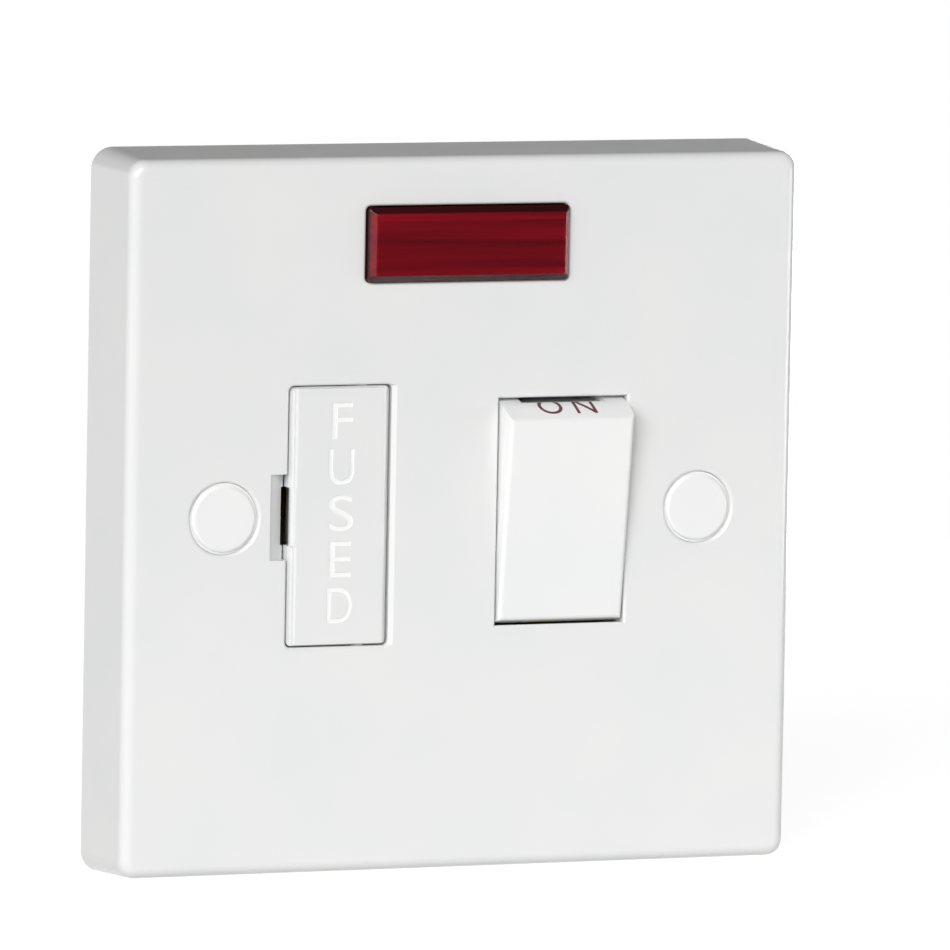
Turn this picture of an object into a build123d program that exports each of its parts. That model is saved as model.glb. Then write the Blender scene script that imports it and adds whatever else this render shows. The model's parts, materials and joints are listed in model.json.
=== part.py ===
from build123d import *
import math
import os

# Switched fused connection unit for a wall box, in millimetres.
# The origin is the middle of the plate's rear rim, on the wall.
# +X is to the right of someone facing the plate, +Y goes into the wall and +Z is up.

# Front plate
PLATE_SIZE = 86.0
PLATE_DEPTH = 12.2
PLATE_DRAFT = 0.7
PLATE_CORNER_R = 2.6
PLATE_EDGE_R = 1.4
FRONT_WALL = 2.5
SKIRT_WALL = 2.2
HOLLOW_CORNER_R = 1.4
OPENING_EDGE_R = 0.4

# Fixing screws, their bosses and their caps
FIXING_PITCH = 60.3
FIXING_SCREW_R = 1.75
FIXING_SCREW_NECK_R = 1.5
FIXING_SCREW_LENGTH = 25.0
FIXING_POINT = 0.6
FIXING_HEAD_R = 3.3
FIXING_HEAD_H = 2.1
FIXING_HEAD_EDGE_R = 0.6
FIXING_HOLE_GAP = 0.3
FIXING_HEAD_GAP = 0.25
BOSS_WALL = 1.35
BOSS_SETBACK = 0.6
BOSS_RIB_T = 1.4
BOSS_RIB_H = 6.5
CAP_RECESS_R = 4.3
CAP_RECESS_DEPTH = 2.0
CAP_FIT = 0.05
CAP_DISC_R = 4.0
CAP_GROOVE_DEPTH = 0.5
CAP_FLANGE_T = 0.7
CAP_SKIRT_WALL = 0.6
CAP_EDGE_R = 0.45
SCREW_SLOT_W = 1.0
SCREW_SLOT_DEPTH = 1.0
REAR_HEAD_BEVEL = 0.3

# Switch rocker, drawn level and then tipped to its on position
ROCKER_X = 12.63
ROCKER_W = 16.05
ROCKER_PIVOT_DEPTH = 4.7
ROCKER_DRUM_R = 13.75
ROCKER_FACE = 6.4
ROCKER_TILT = 7.1
ROCKER_SIDE_DRAFT = 0.15
ROCKER_SIDE_GAP = 0.2
ROCKER_END_GAP = 0.45
ROCKER_WALL = 1.4
ROCKER_SKIRT = 2.0
ROCKER_EDGE_R = 0.5
ROCKER_WEB_T = 1.6
LABEL_POCKET_W = 10.8
LABEL_POCKET_DEPTH = 0.8
LABEL_POCKET_LEAD = 3.0
TRUNNION_R = 1.5
TRUNNION_FIT = 0.06
LUG_T = 1.8
LUG_SETBACK = 0.1
LUG_RIM = 1.6
LUG_TAIL = 2.4
KEEPER_GAP = 0.15

# Sprung plungers in the rocker's stems, one for each pole
POLE_OFFSET = 4.0
STEM_R = 2.4
STEM_REACH = 6.3
STEM_BORE_DEPTH = 8.3
PLUNGER_R = 1.65
PLUNGER_FIT = 0.1
PLUNGER_REACH = 9.0
PLUNGER_LENGTH = 6.0
SPRING_WIRE_R = 0.2
SPRING_GAP = 0.1
SPRING_TURNS = 5

# See-saw contact levers, drawn level and then tipped to their closed position
LEVER_W = 4.0
LEVER_T = 1.0
LEVER_RISE = 1.2
LEVER_RIB_R = 0.7
LEVER_TAIL = 6.0
LEVER_NOSE = 1.5
LEVER_CORNER_R = 1.0
LEVER_TILT = 8.5
LEVER_GAP = 0.05
CONTACT_ARM = 10.0
CONTACT_GAP = 0.08
TIP_R = 1.3
TIP_H = 0.9
TIP_BEVEL = 0.5
FIXED_TIP_H = 0.8
FULCRUM_FIT = 0.05
FULCRUM_WALL = 0.35
FULCRUM_LIP = 0.15

# Brass strips and fuse clips
STRAP_W = 4.0
STRAP_T = 0.8
WINDOW_GAP = 0.25
CLIP_SETBACK = 0.7
CLIP_LENGTH = 4.0
CLIP_T = 0.6
CLIP_GAP = 0.15
CLIP_HALF_ANGLE = 85.0
TAIL_LENGTH = 3.0

# Cartridge fuse, 25.4 by 6.35
FUSE_LENGTH = 25.4
FUSE_R = 3.175
FUSE_CAP_LENGTH = 5.5
FUSE_CAP_T = 0.3
FUSE_CAP_EDGE_R = 0.4
FUSE_SEAT_GAP = 0.06

# Hinged fuse carrier
CARRIER_X = -15.65
CARRIER_OPEN_W = 13.1
CARRIER_OPEN_H = 31.0
CARRIER_OPEN_CORNER_R = 0.7
CARRIER_OPEN_BEVEL = 0.5
CARRIER_SIDE_GAP = 0.5
CARRIER_END_GAP = 0.35
CARRIER_FACE_T = 2.2
CARRIER_TAB_EDGE_R = 0.65
CARRIER_LEDGE = 0.4
CARRIER_LEDGE_EDGE_R = 0.35
CARRIER_STEP = 0.2
CARRIER_STEP_DEPTH = 0.75
CARRIER_STEP_CORNER_R = 0.6
CARRIER_HINGE_EDGE_R = 0.7
CARRIER_SWEEP_GAP = 0.35
CHEEK_SETBACK = 2.0
CHEEK_GAP = 0.15
SADDLE_GAP = 2.0
SADDLE_WALL = 1.2
SADDLE_RIB_T = 2.0
HINGE_INSET = 3.0
HINGE_PIN_R = 0.75
HINGE_PIN_FIT = 0.05
HINGE_PIN_LENGTH = 2.0
HINGE_PIN_SETBACK = 0.1
PRY_NOTCH_W = 2.2
PRY_NOTCH_LENGTH = 10.2
PRY_NOTCH_SHALLOW = 0.3
PRY_NOTCH_DEEP = 1.8
PRY_SLOT_W = 0.3
PRY_SLOT_LENGTH = 6.9
PRY_LIP = 1.0

# Pillar terminals
TERMINAL_PITCH = 10.0
TERMINAL_W = 7.0
TERMINAL_LENGTH = 7.8
TERMINAL_LEAD_IN = 1.3
TERMINAL_FRONT_WALL = 1.1
TERMINAL_REAR_WALL = 3.0
TERMINAL_END_WALL = 1.0
TERMINAL_EDGE_R = 0.4
TERMINAL_FIT = 0.15
WIRE_BORE_R = 2.2
TERMINAL_SCREW_R = 1.7
TERMINAL_SCREW_FIT = 0.05
TERMINAL_SCREW_CLEAR = 0.1
TERMINAL_HEAD_R = 2.5
TERMINAL_HEAD_H = 1.8
TERMINAL_HEAD_STANDOFF = 0.3
ACCESS_GAP = 0.4

# Rear housing
HOUSING_WALL = 1.5
HOUSING_FRONT_GAP = 0.3
HOUSING_CORNER_R = 2.5
HOUSING_EDGE_R = 0.6
HOUSING_FLOOR = 1.8
HOUSING_REAR_WALL = 2.4
HOUSING_END_WALL = 1.6
BAY_END_GAP = 0.3
FUSE_BAY_GAP = 1.3
SWITCH_BAY_GAP = 0.6
BARRIER_T = 1.4
PARTITION_T = 1.6
CORE_WALL = 1.5
CORE_LEAST = 3.0
BOSS_RELIEF = 0.2
EAR_R = 3.2
EAR_T = 2.4
EAR_OUT = 2.8
EAR_Z = 19.0
POST_R = 2.6
POST_H = 6.0
HOUSING_SCREW_R = 1.3
HOUSING_SCREW_LENGTH = 7.0
HOUSING_SCREW_FIT = 0.05
HOUSING_HEAD_R = 2.5
HOUSING_HEAD_H = 1.6
EAR_HOLE_GAP = 0.3

# Neon lens and lamp
LENS_W = 25.5
LENS_H = 8.85
LENS_PROUD = 1.2
LENS_CORNER_R = 0.5
LENS_PANEL_CORNER_R = 0.2
LENS_CHAMFER = 0.75
LENS_FLANGE = 0.9
LENS_FLANGE_T = 1.0
LENS_WALL = 1.3
LENS_FIT = 0.1
FLUTE_PITCH = 0.6
FLUTE_DEPTH = 0.15
TRAY_GAP = 0.15
TRAY_FLOOR = 1.2
NEON_R = 2.3
NEON_LENGTH = 13.0
NEON_PINCH_R = 1.6
NEON_PINCH_LENGTH = 1.5
NEON_SETBACK = 0.7
NEON_REST_X = 3.25
NEON_REST_T = 1.6
NEON_REST_DEPTH = 1.15
NEON_REST_GAP = 0.05
NEON_TRAY_GAP = 0.9
LEAD_R = 0.45
LEAD_BEND_R = 1.0
LEAD_SPLIT = 0.9
LEAD_OUT = 2.6
LEAD_DROP = 3.4
LEAD_HOLE_GAP = 0.3
LEAD_TAIL_GAP = 0.075
RESISTOR_R = 1.2
RESISTOR_LENGTH = 6.0
RESISTOR_END_R = 0.4
RESISTOR_RUN = 9.0

# Levels from front to back
FACE_Y = -PLATE_DEPTH
WALL_Y = FACE_Y + FRONT_WALL
PLATE_TAPER = math.degrees(math.atan(PLATE_DRAFT / PLATE_DEPTH))
SEAT_Y = FACE_Y + CAP_RECESS_DEPTH + FIXING_HEAD_H + FIXING_HEAD_GAP
BOSS_Y = -BOSS_SETBACK
PIVOT_Y = FACE_Y + ROCKER_PIVOT_DEPTH
LEVER_Y = PIVOT_Y + PLUNGER_REACH + LEVER_GAP + LEVER_RISE
LEVER_BACK_Y = LEVER_Y - LEVER_RISE + LEVER_T
TIP_RISE = TIP_H - (LEVER_Y - LEVER_BACK_Y)
LEVER_COS = math.cos(math.radians(LEVER_TILT))
LEVER_SIN = math.sin(math.radians(LEVER_TILT))
CLOSED_TIP_Y = LEVER_Y + TIP_RISE * LEVER_COS + (CONTACT_ARM + TIP_R - TIP_BEVEL) * LEVER_SIN
STRAP_Y = CLOSED_TIP_Y + CONTACT_GAP + FIXED_TIP_H
FLOOR_Y = STRAP_Y + STRAP_T
TERMINAL_Y = STRAP_Y - TERMINAL_LEAD_IN
WIRE_Y = TERMINAL_Y + TERMINAL_FRONT_WALL + WIRE_BORE_R
TERMINAL_REAR_Y = WIRE_Y + WIRE_BORE_R + TERMINAL_REAR_WALL
HOUSING_FRONT_Y = WALL_Y + HOUSING_FRONT_GAP
HOUSING_BACK_Y = FLOOR_Y + HOUSING_FLOOR
HOUSING_REAR_Y = TERMINAL_REAR_Y + HOUSING_REAR_WALL
EAR_Y = WALL_Y + POST_H

# Hinge of the carrier, and the fuse that swings with it
HINGE_X = CARRIER_X + CARRIER_OPEN_W / 2 - CARRIER_SIDE_GAP - HINGE_INSET
HINGE_Y = WALL_Y - HINGE_PIN_R - HINGE_PIN_SETBACK
CARRIER_LEFT = CARRIER_X - CARRIER_OPEN_W / 2 + CARRIER_SIDE_GAP
CARRIER_RIGHT = CARRIER_X + CARRIER_OPEN_W / 2 - CARRIER_SIDE_GAP
CARRIER_HALF = CARRIER_OPEN_H / 2 - CARRIER_END_GAP
SWEEP_R = HINGE_X - (CARRIER_X - CARRIER_OPEN_W / 2) - CARRIER_SWEEP_GAP
FUSE_Y = FACE_Y + CARRIER_FACE_T + FUSE_SEAT_GAP + FUSE_R
FUSE_SWING_R = SWEEP_R - FUSE_R - FUSE_SEAT_GAP
FUSE_X = HINGE_X - math.sqrt(FUSE_SWING_R**2 - (FUSE_Y - HINGE_Y) ** 2)

# Places across the plate
FIXING_XS = (-FIXING_PITCH / 2, FIXING_PITCH / 2)
BOSS_R = FIXING_HEAD_R + FIXING_HEAD_GAP + BOSS_WALL
ROCKER_SIDE = ROCKER_W / 2 + ROCKER_SIDE_GAP
LUG_IN = ROCKER_SIDE + LUG_SETBACK
LUG_OUT = LUG_IN + LUG_T
LINE_X = ROCKER_X - POLE_OFFSET
NEUTRAL_X = ROCKER_X + POLE_OFFSET
HOUSING_LEFT = CARRIER_X - CARRIER_OPEN_W / 2 - FUSE_BAY_GAP - HOUSING_WALL
HOUSING_RIGHT = ROCKER_X + LUG_OUT + SWITCH_BAY_GAP + HOUSING_WALL
PARTITION_X = (CARRIER_RIGHT + ROCKER_X - LUG_OUT) / 2
SUPPLY_LINE_X = ROCKER_X - TERMINAL_PITCH / 2
SUPPLY_NEUTRAL_X = ROCKER_X + TERMINAL_PITCH / 2
EARTH_X = (FUSE_X + SUPPLY_NEUTRAL_X) / 2
EARS = [
    (x, z)
    for x in (HOUSING_LEFT - EAR_OUT, HOUSING_RIGHT + EAR_OUT)
    for z in (-EAR_Z, EAR_Z)
]

# Places up and down the plate
BAY_HALF = CARRIER_OPEN_H / 2 + BAY_END_GAP
TERMINAL_IN = BAY_HALF + BARRIER_T
TERMINAL_OUT = TERMINAL_IN + TERMINAL_LENGTH
TERMINAL_MID = (TERMINAL_IN + TERMINAL_OUT) / 2
HOUSING_HALF = TERMINAL_OUT + HOUSING_END_WALL
LENS_Z = HOUSING_HALF + TRAY_GAP + LENS_FLANGE + LENS_H / 2
CLIP_FAR = FUSE_LENGTH / 2 - CLIP_SETBACK
CLIP_NEAR = CLIP_FAR - CLIP_LENGTH
SADDLE_HALF = CLIP_NEAR - SADDLE_GAP
TAIL_Z = TERMINAL_IN + TAIL_LENGTH
UPPER_TERMINALS = {
    "supply_line_terminal": SUPPLY_LINE_X,
    "supply_neutral_terminal": SUPPLY_NEUTRAL_X,
}
LOWER_TERMINALS = {
    "load_line_terminal": FUSE_X,
    "earth_terminal": EARTH_X,
    "load_neutral_terminal": SUPPLY_NEUTRAL_X,
}

# Neon lamp's own levels
LENS_FRONT_Y = FACE_Y - LENS_PROUD
FLANGE_Y = WALL_Y + LENS_FLANGE_T
TRAY_Y = FLANGE_Y + TRAY_GAP
NEON_Y = WALL_Y + NEON_SETBACK
TRAY_FLOOR_Y = NEON_Y + NEON_R + NEON_TRAY_GAP
TRAY_REAR_Y = TRAY_FLOOR_Y + TRAY_FLOOR
LEAD_Y = TRAY_REAR_Y + RESISTOR_R + LEAD_HOLE_GAP
LEAD_X = NEON_LENGTH / 2 + LEAD_OUT
NEUTRAL_LEAD_X = LEAD_X + RESISTOR_RUN
HOLLOW_HALF_W = LENS_W / 2 - LENS_WALL
HOLLOW_HALF_H = LENS_H / 2 - LENS_WALL

# A cutter runs this far past the surface that it opens
CUT = 1.0


def span(x0, x1, y0, y1, z0, z1):
    middle = Pos((x0 + x1) / 2, (y0 + y1) / 2, (z0 + z1) / 2)
    return middle * Box(abs(x1 - x0), abs(y1 - y0), abs(z1 - z0))


def rod_x(y, z, radius, x0, x1):
    return Pos((x0 + x1) / 2, y, z) * Rot(0, 90, 0) * Cylinder(radius, abs(x1 - x0))


def rod_y(x, z, radius, y0, y1):
    return Pos(x, (y0 + y1) / 2, z) * Rot(90, 0, 0) * Cylinder(radius, abs(y1 - y0))


def rod_z(x, y, radius, z0, z1):
    return Pos(x, y, (z0 + z1) / 2) * Cylinder(radius, abs(z1 - z0))


def slab(x, z, width, height, corner, y0, y1):
    outline = Plane((x, y1, z), x_dir=(1, 0, 0), z_dir=(0, -1, 0))
    return extrude(outline * RectangleRounded(width, height, corner), y1 - y0)


def prism_z(points, z0, z1):
    outline = make_face(Polyline(*points, close=True))
    return Pos(0, 0, z0) * extrude(outline, z1 - z0)


def prism_x(points, x0, x1):
    outline = Plane.YZ * make_face(Polyline(*points, close=True))
    return Pos(x0, 0, 0) * extrude(outline, x1 - x0)


def tipped(solid, level_y, angle):
    return solid.rotate(Axis((0, level_y, 0), (1, 0, 0)), angle)


def round_front_edge(solid, radius):
    return fillet(solid.faces().sort_by(Axis.Y)[0].edges(), radius)


def wire_along(points):
    path = FilletPolyline(*points, radius=LEAD_BEND_R)
    return sweep(Plane(path @ 0, z_dir=path % 0) * Circle(LEAD_R), path=path)


# Front plate: a drafted shell with its openings, bosses, rocker lugs and housing posts
def lens_opening():
    width = LENS_W + 2 * LENS_FIT
    height = LENS_H + 2 * LENS_FIT
    corner = LENS_CORNER_R + LENS_FIT
    return slab(0, LENS_Z, width, height, corner, FACE_Y - CUT, WALL_Y)


def carrier_opening():
    return slab(
        CARRIER_X, 0, CARRIER_OPEN_W, CARRIER_OPEN_H, CARRIER_OPEN_CORNER_R, FACE_Y - CUT, WALL_Y
    )


def rocker_opening():
    radius = ROCKER_DRUM_R + ROCKER_END_GAP
    left = ROCKER_X - ROCKER_SIDE
    right = ROCKER_X + ROCKER_SIDE
    drum = rod_x(PIVOT_Y, 0, radius, left, right)
    return drum & span(left, right, FACE_Y - CUT, WALL_Y, -radius, radius)


def pry_notch():
    right = CARRIER_X - CARRIER_OPEN_W / 2
    left = right - PRY_NOTCH_W
    ramp = [
        (left, FACE_Y - CUT),
        (left, FACE_Y + PRY_NOTCH_SHALLOW),
        (right, FACE_Y + PRY_NOTCH_DEEP),
        (right, FACE_Y - CUT),
    ]
    half = PRY_SLOT_LENGTH / 2
    slot = span(right - PRY_SLOT_W, right, FACE_Y - CUT, WALL_Y, -half, half)
    return prism_z(ramp, -PRY_NOTCH_LENGTH / 2, PRY_NOTCH_LENGTH / 2) + slot


def hinge_bevel():
    right = CARRIER_X + CARRIER_OPEN_W / 2
    bevel = [
        (right - CUT, FACE_Y - CUT),
        (right - CUT, FACE_Y + CARRIER_OPEN_BEVEL),
        (right, FACE_Y + CARRIER_OPEN_BEVEL),
        (right + CARRIER_OPEN_BEVEL, FACE_Y),
        (right + CARRIER_OPEN_BEVEL, FACE_Y - CUT),
    ]
    return prism_z(bevel, -CARRIER_OPEN_H / 2, CARRIER_OPEN_H / 2)


def hinge_groove(side):
    radius = HINGE_PIN_R + HINGE_PIN_FIT
    inner = side * CARRIER_OPEN_H / 2
    outer = side * (CARRIER_HALF + HINGE_PIN_LENGTH + HINGE_PIN_FIT)
    round_end = rod_z(HINGE_X, HINGE_Y, radius, inner, outer)
    return round_end + span(HINGE_X - radius, HINGE_X + radius, HINGE_Y, WALL_Y, inner, outer)


def rocker_lug(side):
    inner = ROCKER_X + side * LUG_IN
    outer = ROCKER_X + side * LUG_OUT
    radius = TRUNNION_R + TRUNNION_FIT
    half = radius + LUG_RIM
    tail_y = PIVOT_Y + LUG_TAIL
    lug = span(inner, outer, WALL_Y, tail_y, -half, half)
    slot = rod_x(PIVOT_Y, 0, radius, inner, outer)
    return lug - slot - span(inner, outer, PIVOT_Y, tail_y, -radius, radius)


def boss_rib(x):
    side = math.copysign(1, x)
    inner = x + side * (BOSS_R - BOSS_WALL / 2)
    outer = side * (PLATE_SIZE / 2 - SKIRT_WALL)
    return span(inner, outer, WALL_Y, WALL_Y + BOSS_RIB_H, -BOSS_RIB_T / 2, BOSS_RIB_T / 2)


def front_plate():
    outline = Plane.XZ * RectangleRounded(PLATE_SIZE, PLATE_SIZE, PLATE_CORNER_R)
    plate = round_front_edge(extrude(outline, PLATE_DEPTH, taper=PLATE_TAPER), PLATE_EDGE_R)
    inside = PLATE_SIZE - 2 * SKIRT_WALL
    hollow = Plane.XZ * RectangleRounded(inside, inside, HOLLOW_CORNER_R)
    plate -= extrude(hollow, PLATE_DEPTH - FRONT_WALL, taper=PLATE_TAPER)
    plate -= lens_opening() + carrier_opening() + rocker_opening()
    for x in FIXING_XS:
        plate -= rod_y(x, 0, CAP_RECESS_R, FACE_Y - CUT, FACE_Y + CAP_RECESS_DEPTH)
    front = plate.faces().filter_by(Plane.XZ).sort_by(Axis.Y)[0]
    rims = [edge for wire in front.inner_wires() for edge in wire.edges()]
    plate = fillet(rims, OPENING_EDGE_R)
    for x in FIXING_XS:
        plate += rod_y(x, 0, BOSS_R, WALL_Y, BOSS_Y) + boss_rib(x)
        recess_y = FACE_Y + CAP_RECESS_DEPTH - CUT
        plate -= rod_y(x, 0, FIXING_HEAD_R + FIXING_HEAD_GAP, recess_y, SEAT_Y)
        plate -= rod_y(x, 0, FIXING_SCREW_R + FIXING_HOLE_GAP, SEAT_Y - CUT, BOSS_Y)
    for side in (-1, 1):
        plate += rocker_lug(side)
        plate -= hinge_groove(side)
    for x, z in EARS:
        plate += rod_y(x, z, POST_R, WALL_Y, EAR_Y)
        depth = HOUSING_SCREW_LENGTH - EAR_T + HOUSING_SCREW_FIT
        plate -= rod_y(x, z, HOUSING_SCREW_R + HOUSING_SCREW_FIT, EAR_Y - depth, EAR_Y)
    return plate - pry_notch() - hinge_bevel()


# Caps: a disc with a ring groove round it, on a short skirt that grips the recess
def screw_cap(x):
    flange_y = FACE_Y + CAP_GROOVE_DEPTH
    skirt_y = flange_y + CAP_FLANGE_T
    seat_y = FACE_Y + CAP_RECESS_DEPTH
    outer = CAP_RECESS_R - CAP_FIT
    disc = round_front_edge(rod_y(x, 0, CAP_DISC_R, FACE_Y, skirt_y), CAP_EDGE_R)
    flange = rod_y(x, 0, outer, flange_y, seat_y)
    well = rod_y(x, 0, outer - CAP_SKIRT_WALL, skirt_y, seat_y)
    return disc + flange - well


# Screws with a slotted head towards the screwdriver
def fixing_screw(x):
    top_y = SEAT_Y - FIXING_HEAD_H
    head = round_front_edge(rod_y(x, 0, FIXING_HEAD_R, top_y, SEAT_Y), FIXING_HEAD_EDGE_R)
    left = x - FIXING_HEAD_R
    right = x + FIXING_HEAD_R
    half = SCREW_SLOT_W / 2
    slot = span(left, right, top_y, top_y + SCREW_SLOT_DEPTH, -half, half)
    thread_y = BOSS_Y + FIXING_HOLE_GAP
    neck = rod_y(x, 0, FIXING_SCREW_NECK_R, SEAT_Y, thread_y)
    thread = rod_y(x, 0, FIXING_SCREW_R, thread_y, SEAT_Y + FIXING_SCREW_LENGTH)
    point = thread.faces().sort_by(Axis.Y)[-1].edges()
    return head - slot + neck + chamfer(point, FIXING_POINT)


def rear_screw(x, z, radius, head_radius, tip_y, head_y, head_height):
    top_y = head_y + head_height
    head = rod_y(x, z, head_radius, head_y, top_y)
    head = chamfer(head.faces().sort_by(Axis.Y)[-1].edges(), REAR_HEAD_BEVEL)
    half = SCREW_SLOT_W / 2
    slot = span(x - half, x + half, top_y - SCREW_SLOT_DEPTH, top_y, z - head_radius, z + head_radius)
    return head - slot + rod_y(x, z, radius, tip_y, head_y)


def housing_screw(x, z):
    seat_y = EAR_Y + EAR_T
    tip_y = seat_y - HOUSING_SCREW_LENGTH
    return rear_screw(x, z, HOUSING_SCREW_R, HOUSING_HEAD_R, tip_y, seat_y, HOUSING_HEAD_H)


def terminal_screw(x, z):
    tip_y = WIRE_Y + WIRE_BORE_R + TERMINAL_SCREW_CLEAR
    head_y = TERMINAL_REAR_Y + TERMINAL_HEAD_STANDOFF
    return rear_screw(x, z, TERMINAL_SCREW_R, TERMINAL_HEAD_R, tip_y, head_y, TERMINAL_HEAD_H)


# Rocker: a hollow drum segment with a flat face, two stems and a trunnion at each side
def label_pocket(skirt_y):
    left = ROCKER_X - LABEL_POCKET_W / 2
    right = ROCKER_X + LABEL_POCKET_W / 2
    top = ROCKER_DRUM_R + CUT
    pocket = span(left, right, PIVOT_Y - LABEL_POCKET_LEAD, skirt_y, 0, top)
    return pocket - rod_x(PIVOT_Y, 0, ROCKER_DRUM_R - LABEL_POCKET_DEPTH, left, right)


def rocker():
    left = ROCKER_X - ROCKER_W / 2
    right = ROCKER_X + ROCKER_W / 2
    face_y = PIVOT_Y - ROCKER_FACE
    skirt_y = PIVOT_Y + ROCKER_SKIRT
    plan = [
        (left, skirt_y),
        (right, skirt_y),
        (right, FACE_Y),
        (right - ROCKER_SIDE_DRAFT, face_y),
        (left + ROCKER_SIDE_DRAFT, face_y),
        (left, FACE_Y),
    ]
    body = rod_x(PIVOT_Y, 0, ROCKER_DRUM_R, left, right) & prism_z(plan, -ROCKER_DRUM_R, ROCKER_DRUM_R)
    body = round_front_edge(body, ROCKER_EDGE_R) - label_pocket(skirt_y)
    inner_r = ROCKER_DRUM_R - ROCKER_WALL
    roof_y = face_y + ROCKER_WALL
    hollow = rod_x(PIVOT_Y, 0, inner_r, left + ROCKER_WALL, right - ROCKER_WALL)
    body -= hollow & span(left, right, roof_y, skirt_y + inner_r, -inner_r, inner_r)
    body += span(left, right, roof_y, skirt_y, -ROCKER_WEB_T / 2, ROCKER_WEB_T / 2)
    tip_y = PIVOT_Y + STEM_REACH
    for x in (LINE_X, NEUTRAL_X):
        body += rod_y(x, 0, STEM_R, roof_y, tip_y)
        body -= rod_y(x, 0, PLUNGER_R + PLUNGER_FIT, tip_y - STEM_BORE_DEPTH, tip_y)
    trunnion = LUG_OUT - KEEPER_GAP
    body += rod_x(PIVOT_Y, 0, TRUNNION_R, ROCKER_X - trunnion, left)
    body += rod_x(PIVOT_Y, 0, TRUNNION_R, right, ROCKER_X + trunnion)
    return tipped(body, PIVOT_Y, ROCKER_TILT)


def plunger(x):
    dome_y = PIVOT_Y + PLUNGER_REACH - PLUNGER_R
    back_y = PIVOT_Y + PLUNGER_REACH - PLUNGER_LENGTH
    body = rod_y(x, 0, PLUNGER_R, back_y, dome_y) + Pos(x, dome_y, 0) * Sphere(PLUNGER_R)
    return tipped(body, PIVOT_Y, ROCKER_TILT)


def spring(x):
    start_y = PIVOT_Y + STEM_REACH - STEM_BORE_DEPTH + SPRING_WIRE_R
    end_y = PIVOT_Y + PLUNGER_REACH - PLUNGER_LENGTH - SPRING_WIRE_R
    height = end_y - start_y
    radius = PLUNGER_R - SPRING_WIRE_R - SPRING_GAP
    coil = Helix(height / SPRING_TURNS, height, radius, center=(x, start_y, 0), direction=(0, 1, 0))
    wire = sweep(Plane(coil @ 0, z_dir=coil % 0) * Circle(SPRING_WIRE_R), path=coil)
    return tipped(wire, PIVOT_Y, ROCKER_TILT)


# Levers: a bar with a half-round rib that rocks in its strip's fulcrum
def lever(x):
    left = x - LEVER_W / 2
    right = x + LEVER_W / 2
    nose = CONTACT_ARM + TIP_R + LEVER_NOSE
    bar = span(left, right, LEVER_Y - LEVER_RISE, LEVER_BACK_Y, -LEVER_TAIL, nose)
    bar = fillet(bar.edges().filter_by(Axis.Y), LEVER_CORNER_R)
    return tipped(bar + rod_x(LEVER_Y, 0, LEVER_RIB_R, left, right), LEVER_Y, -LEVER_TILT)


def lever_tip(x):
    tip = rod_y(x, CONTACT_ARM, TIP_R, LEVER_BACK_Y, LEVER_BACK_Y + TIP_H)
    tip = chamfer(tip.faces().sort_by(Axis.Y)[-1].edges(), TIP_BEVEL)
    return tipped(tip, LEVER_Y, -LEVER_TILT)


def fixed_tip(x):
    tip = rod_y(x, CONTACT_ARM * LEVER_COS, TIP_R, STRAP_Y - FIXED_TIP_H, STRAP_Y)
    return chamfer(tip.faces().sort_by(Axis.Y)[0].edges(), TIP_BEVEL)


# Strips: flat brass on the housing's floor, with the fulcrums and fuse clips they carry
def strip(x0, x1, z0, z1):
    return span(x0, x1, STRAP_Y, FLOOR_Y, z0, z1)


def upright_strip(x, z0, z1):
    return strip(x - STRAP_W / 2, x + STRAP_W / 2, z0, z1)


def fulcrum(x):
    radius = LEVER_RIB_R + FULCRUM_FIT
    half = radius + FULCRUM_WALL
    left = x - LEVER_W / 2
    right = x + LEVER_W / 2
    post = span(left, right, LEVER_Y + FULCRUM_LIP, STRAP_Y, -half, half)
    return post - rod_x(LEVER_Y, 0, radius, left, right)


def fuse_clip(z0, z1):
    inner = FUSE_R + CLIP_GAP
    outer = inner + CLIP_T
    swing = math.degrees(math.atan2(FUSE_Y - HINGE_Y, FUSE_X - HINGE_X))
    middle = swing - 90
    ring = Circle(outer) - Circle(inner)
    wedge = [
        (0, 0),
        *[
            (2 * outer * math.cos(math.radians(angle)), 2 * outer * math.sin(math.radians(angle)))
            for angle in (middle - CLIP_HALF_ANGLE, middle, middle + CLIP_HALF_ANGLE)
        ],
    ]
    jaw = ring & make_face(Polyline(*wedge, close=True))
    jaw = Pos(FUSE_X, FUSE_Y, z0) * extrude(jaw, z1 - z0)
    stem_y = FUSE_Y + inner + CLIP_T / 2
    stem = span(FUSE_X - STRAP_T / 2, FUSE_X + STRAP_T / 2, stem_y, STRAP_Y, z0, z1)
    return jaw + stem


def line_strip():
    cross = strip(FUSE_X - STRAP_W / 2, LINE_X + STRAP_W / 2, -STRAP_W / 2, STRAP_W / 2)
    rise = upright_strip(FUSE_X, 0, TAIL_Z)
    return cross + rise + fuse_clip(CLIP_NEAR, CLIP_FAR) + fulcrum(LINE_X)


def lower_fuse_clip():
    return upright_strip(FUSE_X, -TERMINAL_IN, -CLIP_NEAR) + fuse_clip(-CLIP_FAR, -CLIP_NEAR)


def neutral_strip():
    return upright_strip(NEUTRAL_X, -TERMINAL_IN, STRAP_W / 2) + fulcrum(NEUTRAL_X)


def fixed_contact(x):
    return upright_strip(x, CONTACT_ARM - STRAP_W / 2, TERMINAL_IN)


# Fuse: a ceramic barrel in two plated end caps
def fuse_barrel():
    half = FUSE_LENGTH / 2 - FUSE_CAP_T
    return rod_z(FUSE_X, FUSE_Y, FUSE_R - FUSE_CAP_T, -half, half)


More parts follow.
